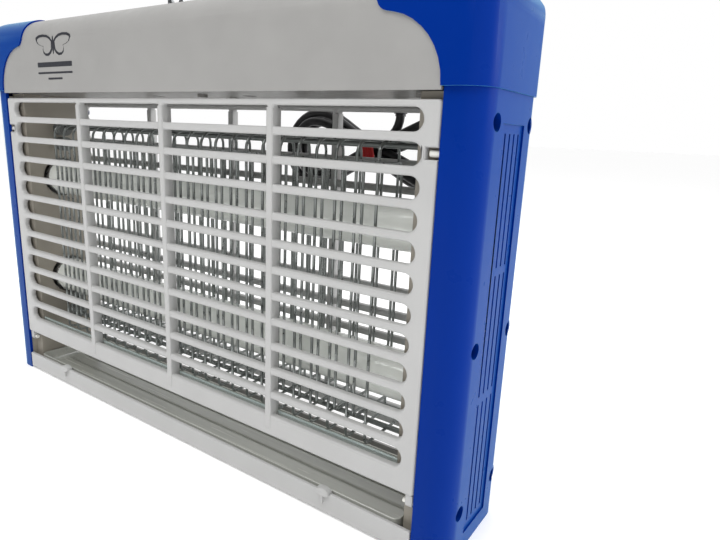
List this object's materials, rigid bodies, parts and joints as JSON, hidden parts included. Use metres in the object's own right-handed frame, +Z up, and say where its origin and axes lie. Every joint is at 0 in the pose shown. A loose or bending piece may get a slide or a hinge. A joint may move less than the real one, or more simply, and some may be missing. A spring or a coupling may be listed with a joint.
{
  "type": "electric insect killer",
  "caption": "Free-standing or hanging electric insect killer: lamps behind a high-voltage wire grid between two slotted guards, with a hinged front guard and a slide-out tray",
  "frame": {"origin": "on the resting surface, at the middle of the housing's width and depth", "axes": "+X to the viewer's right along the width, -Y out of the front with the hinged guard, +Z up"},
  "size_m": [0.385, 0.0827, 0.274],
  "materials": {
    "housing_grey": "moulded, fine satin grain",
    "cover_blue": "glossy moulded blue",
    "frame_grey": "moulded, matt",
    "guard_grey": "moulded, satin",
    "pin_white": "moulded",
    "wire_steel": "drawn steel wire, dulled zinc",
    "rail_steel": "flat steel strip",
    "insulator_grey": "moulded",
    "clear_sill": "clear plastic strip",
    "lamp_glass": "white phosphor behind glass, unlit",
    "lamp_cap": "drawn aluminium cap",
    "holder_white": "moulded",
    "tray_grey": "moulded, satin",
    "deck_steel": "painted sheet steel",
    "core_iron": "varnished iron laminations",
    "socket_ivory": "moulded",
    "starter_white": "moulded can",
    "screw_steel": "zinc plated",
    "tab_steel": "bright zinc plated",
    "cord_black": "black flexible PVC",
    "tie_red": "soft red band",
    "plug_black": "moulded black",
    "pin_metal": "nickel plated"
  },
  "bodies": {
    "housing": {"hood": "housing_grey", "hood_deck": "deck_steel", "left_end_cover": "cover_blue", "right_end_cover": "cover_blue", "left_end_frame": "frame_grey", "right_end_frame": "frame_grey", "rear_guard": "guard_grey", "guard_hinge_pins": "pin_white", "guard_catch_pegs": "pin_white", "rear_guard_screws": "screw_steel", "live_wires": "wire_steel", "neutral_wires": "wire_steel", "live_rails": "rail_steel", "neutral_rails": "rail_steel", "grid_insulators": "insulator_grey", "clear_sills": "clear_sill", "upper_lampholders": "holder_white", "lower_lampholders": "holder_white", "tray_runners": "frame_grey", "rear_rail": "housing_grey", "left_ballast": "core_iron", "right_ballast": "core_iron", "step_up_transformer": "core_iron", "starters": "starter_white", "starter_sockets": "socket_ivory", "terminal_block": "socket_ivory", "hood_wiring": "cord_black", "cover_screws": "screw_steel", "deck_screws": "screw_steel", "hanging_tabs": "tab_steel", "hanging_screws": "screw_steel", "cord_gland": "plug_black", "strain_relief": "cord_black", "cord_hank": "cord_black", "cord_free_end": "cord_black", "cord_tie": "tie_red", "mains_plug": "plug_black", "plug_pins": "pin_metal"},
    "guard": {"front_guard": "guard_grey", "guard_hinge_ears": "guard_grey"},
    "tray": {"collection_tray": "tray_grey"},
    "upper_lamp": {"upper_lamp_tube": "lamp_glass", "upper_lamp_caps": "lamp_cap"},
    "lower_lamp": {"lower_lamp_tube": "lamp_glass", "lower_lamp_caps": "lamp_cap"}
  },
  "joints": [
    {"name": "guard_hinge", "type": "hinge", "parent": "housing", "child": "guard", "pos_m": [0, -0.0265, 0.0264], "axis": [1, 0, 0], "range_deg": [0, 90]},
    {"name": "tray_slide", "type": "slide", "parent": "housing", "child": "tray", "axis": [0, -1, 0], "range_m": [0, 0.045]},
    {"name": "upper_lamp_twist", "type": "hinge", "parent": "housing", "child": "upper_lamp", "pos_m": [0, 0, 0.1515], "axis": [1, 0, 0], "range_deg": [0, 90]},
    {"name": "lower_lamp_twist", "type": "hinge", "parent": "housing", "child": "lower_lamp", "pos_m": [0, 0, 0.0745], "axis": [1, 0, 0], "range_deg": [0, 90]}
  ]
}
